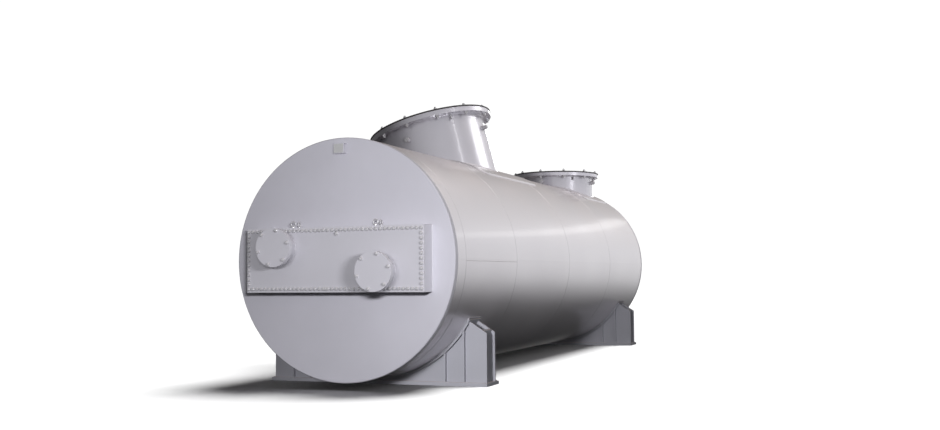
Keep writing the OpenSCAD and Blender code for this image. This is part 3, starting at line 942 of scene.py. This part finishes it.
tagLow, tagHigh = boxOf("nameplate")[:2]
rivetMesh = growMesh(rivetTree(rivets), {
    "Width": tagHigh.x - tagLow.x - 2 * rivets["edge"],
    "Height": tagHigh.z - tagLow.z - 2 * rivets["edge"],
    "Head Radius": rivets["radius"],
    "Finish": finishes["plate_metal"],
})
addPiece("nameplateRivets", [(rivetMesh, frontFace("nameplate"))], "plate_metal")
print("nameplate rivets added")

# Stage: a pale floor that casts nothing back on the cooler, and soft lights
studioFloor = {"reach": 60.0, "tones": (0.8, 0.83), "cloudScale": 0.8, "roughness": 0.9}


def addFloor(size):
    far = size["reach"]
    mesh = bpy.data.meshes.new("studioFloor")
    corners = ((-far, -far, 0.0), (far, -far, 0.0), (far, far, 0.0), (-far, far, 0.0))
    mesh.from_pydata(corners, [], [(0, 1, 2, 3)])
    material, tree, surface, place = newFinish("studioFloorFinish")
    cloud = noiseNode(tree, place, size["cloudScale"], detail=3.0, roughness=0.5)
    dim, bright = (shade((tone, tone, tone), 1.0) for tone in size["tones"])
    join(tree, blendNode(tree, cloud, dim, bright), surface.inputs["Base Color"])
    surface.inputs["Roughness"].default_value = size["roughness"]
    surface.inputs["Specular IOR Level"].default_value = 0.0
    mesh.materials.append(material)
    floor = bpy.data.objects.new("studioFloor", mesh)
    scene.collection.objects.link(floor)
    floor.visible_diffuse = False
    floor.visible_glossy = False
    return floor


def addLight(name, light):
    data = bpy.data.lights.new(name, "AREA")
    data.shape = "RECTANGLE"
    data.size, data.size_y = light["size"]
    data.energy = light["watts"]
    data.color = light["colour"]
    data.spread = math.radians(light.get("spread", 180.0))
    lamp = bpy.data.objects.new(name, data)
    lamp.location = light["at"]
    ahead = Vector(light["target"]) - Vector(light["at"])
    lamp.rotation_euler = ahead.to_track_quat("-Z", "Y").to_euler()
    lamp.visible_camera = False
    lamp.visible_glossy = light.get("mirrored", True)
    scene.collection.objects.link(lamp)
    return lamp


# A light reaches only the pieces that are handed in here
def reachOnly(lamp, items):
    group = bpy.data.collections.new(lamp.name + "Reach")
    for item in items:
        group.objects.link(item)
    lamp.light_linking.receiver_collection = group


floor = addFloor(studioFloor)
pieces = [item for item in scene.objects if item.type == "MESH" and item is not floor]


def named(*starts):
    return [item for item in pieces if item.name.startswith(starts)]


padItems = [item for item in pieces if item.name.endswith(("_pad", "PadWeld"))]
shellItems = named("shell") + padItems
neckItems = [item for item in named("gas") if item not in padItems]
inletItems = [item for item in neckItems if "nlet" in item.name]
outletItems = [item for item in neckItems if item not in inletItems]
flangeItems = [item for item in neckItems if "lange" in item.name]
tubeItems = [item for item in inletItems if item not in flangeItems]
saddleItems = [item for item in pieces if "saddle" in item.name]
plateItems = named("front_end", "nameplate")
headerItems = named("header", "upper", "lower", "left", "right")
rearItems = named("rear_end")

plainWhite = (1.0, 1.0, 1.0)
coolWhite = (0.98, 0.98, 1.0)
lights = {
    "headerKey": {
        "at": (6.0, -9.0, 2.0), "target": (0.3, -4.0, 1.3), "size": (1.6, 0.5),
        "watts": 280.0, "colour": coolWhite, "reach": headerItems + tubeItems,
    },
    "headerFill": {
        "at": (2.6, -11.2, 1.9), "target": (0.0, -4.0, 1.2), "size": (3.0, 0.4),
        "watts": 250.0, "colour": coolWhite, "reach": headerItems,
    },
    "plateKey": {
        "at": (2.7, -8.6, 1.85), "target": (0.0, -3.9, 1.3), "size": (1.0, 0.3),
        "watts": 228.0, "colour": coolWhite, "reach": plateItems,
    },
    "saddleFill": {
        "at": (2.2, -12.0, 1.7), "target": (1.1, -3.1, 0.4), "size": (0.8, 0.8),
        "watts": 25.0, "colour": coolWhite, "reach": saddleItems, "spread": 40.0,
    },
    "neckStrip": {
        "at": (6.7, 4.3, 6.4), "target": (0.1, -0.6, 2.7), "size": (4.2, 2.0),
        "watts": 150.0, "colour": plainWhite, "reach": inletItems,
    },
    "neckLine": {
        "at": (7.6, -3.8, 6.6), "target": (0.1, -0.6, 2.7), "size": (0.35, 2.2),
        "watts": 22.0, "colour": plainWhite, "reach": inletItems,
    },
    "flangeGlow": {
        "at": (3.4, -2.6, 0.8), "target": (-0.2, -0.8, 3.1), "size": (1.2, 1.2),
        "watts": 110.0, "colour": (0.97, 0.97, 1.0), "reach": flangeItems,
    },
    "outletSoft": {
        "at": (8.5, -1.0, 3.6), "target": (0.0, 3.5, 2.7), "size": (4.5, 2.5),
        "watts": 360.0, "colour": coolWhite, "reach": outletItems, "mirrored": False,
    },
    "outletSheen": {
        "at": (6.9, 0.5, 3.4), "target": (0.0, 3.5, 2.7), "size": (1.0, 2.5),
        "watts": 32.0, "colour": coolWhite, "reach": outletItems,
    },
    "topSoft": {
        "at": (4.0, 1.8, 9.0), "target": (0.2, 1.4, 1.6), "size": (11.0, 3.5),
        "watts": 212.0, "colour": (1.0, 0.942, 0.925),
        "reach": shellItems + neckItems + plateItems + headerItems + rearItems,
    },
    "backCard": {
        "at": (4.5, 11.0, 4.2), "target": (0.4, 0.0, 1.8), "size": (7.0, 0.5),
        "watts": 12.0, "colour": (1.0, 0.99, 0.98),
        "reach": shellItems + neckItems + saddleItems + rearItems,
    },
    "leftSoft": {
        "at": (-11.0, 1.5, 4.0), "target": (0.0, 0.4, 1.4), "size": (12.0, 5.0),
        "watts": 420.0, "colour": (1.0, 0.98, 0.97),
        "reach": shellItems + saddleItems + rearItems,
    },
    "rearSoft": {
        "at": (-4.0, 13.0, 5.0), "target": (0.0, 2.0, 1.5), "size": (7.0, 3.5),
        "watts": 620.0, "colour": coolWhite, "reach": neckItems + saddleItems + rearItems,
    },
}
for lightName, light in lights.items():
    reachOnly(addLight(lightName, light), light["reach"])

# The floor has a sun of its own, high up, a little behind on the right, and very soft
floorSun = {"strength": 4.6, "spread": 30.0, "from": (0.3, 0.3, 1.0)}


def addFloorSun(size):
    data = bpy.data.lights.new("floorSun", "SUN")
    data.energy = size["strength"]
    data.angle = math.radians(size["spread"])
    lamp = bpy.data.objects.new("floorSun", data)
    lamp.rotation_euler = Vector(size["from"]).to_track_quat("Z", "Y").to_euler()
    scene.collection.objects.link(lamp)
    reachOnly(lamp, [floor])


addFloorSun(floorSun)
print("floor and", len(lights) + 1, "lights set")

# Studio walls that are pale on the right and dim on the left, dark under the horizon, and plain
# white where the camera looks past the cooler
studioWorld = {
    "heights": ((-0.34, 0.004), (-0.26, 0.03), (-0.19, 0.4), (-0.1, 0.88), (0.05, 1.0),
                (0.4, 0.88), (1.0, 0.6)),
    "bearings": ((-180, 0.45), (-155, 0.1), (-60, 0.1), (-36, 0.36), (-22, 0.7), (10, 0.9),
                 (100, 0.95), (165, 0.85), (180, 0.45)),  # degrees from the front, to the right
    "mirrored": 1.4,
    "scattered": 0.07,
    "backdrop": 1.05,
}


# A grey ramp over a value that runs from -reach to reach
def rampNode(tree, value, reach, steps):
    ramp = tree.nodes.new("ShaderNodeValToRGB")
    join(tree, rangeNode(tree, value, -reach, reach, 0.0, 1.0), ramp.inputs["Fac"])
    stops = ramp.color_ramp.elements
    while len(stops) < len(steps):
        stops.new(1.0)
    span = steps[-1][0]
    for stop, (at, tone) in zip(stops, steps):
        stop.position = (at / span + 1) / 2
        stop.color = (tone, tone, tone, 1.0)
    return ramp.outputs["Color"]


def addWorld(look):
    world = bpy.data.worlds.new("studioWorld")
    world.use_nodes = True
    tree = world.node_tree
    tree.nodes.clear()
    parts = tree.nodes.new("ShaderNodeSeparateXYZ")
    place = tree.nodes.new("ShaderNodeTexCoord").outputs["Generated"]
    join(tree, place, parts.inputs["Vector"])
    toward = mathNode(tree, "MULTIPLY", parts.outputs["Y"], -1.0)
    bearing = mathNode(tree, "ARCTAN2", parts.outputs["X"], toward)
    byHeight = rampNode(tree, parts.outputs["Z"], 1.0, look["heights"])
    byBearing = rampNode(tree, bearing, math.pi, look["bearings"])
    rays = tree.nodes.new("ShaderNodeLightPath").outputs
    fill = tree.nodes.new("ShaderNodeBackground")
    join(tree, blendNode(tree, 1.0, byHeight, byBearing, "MULTIPLY"), fill.inputs["Color"])
    strength = rangeNode(tree, rays["Is Diffuse Ray"], 0.0, 1.0, look["mirrored"],
                         look["scattered"])
    join(tree, strength, fill.inputs["Strength"])
    plain = addNode(tree, "ShaderNodeBackground", Color=shade(plainWhite, 1.0),
                    Strength=look["backdrop"])
    choose = tree.nodes.new("ShaderNodeMixShader")
    join(tree, rays["Is Camera Ray"], choose.inputs["Fac"])
    join(tree, fill.outputs["Background"], choose.inputs[1])
    join(tree, plain.outputs["Background"], choose.inputs[2])
    output = tree.nodes.new("ShaderNodeOutputWorld")
    join(tree, choose.outputs["Shader"], output.inputs["Surface"])
    scene.world = world


addWorld(studioWorld)
print("studio world set")
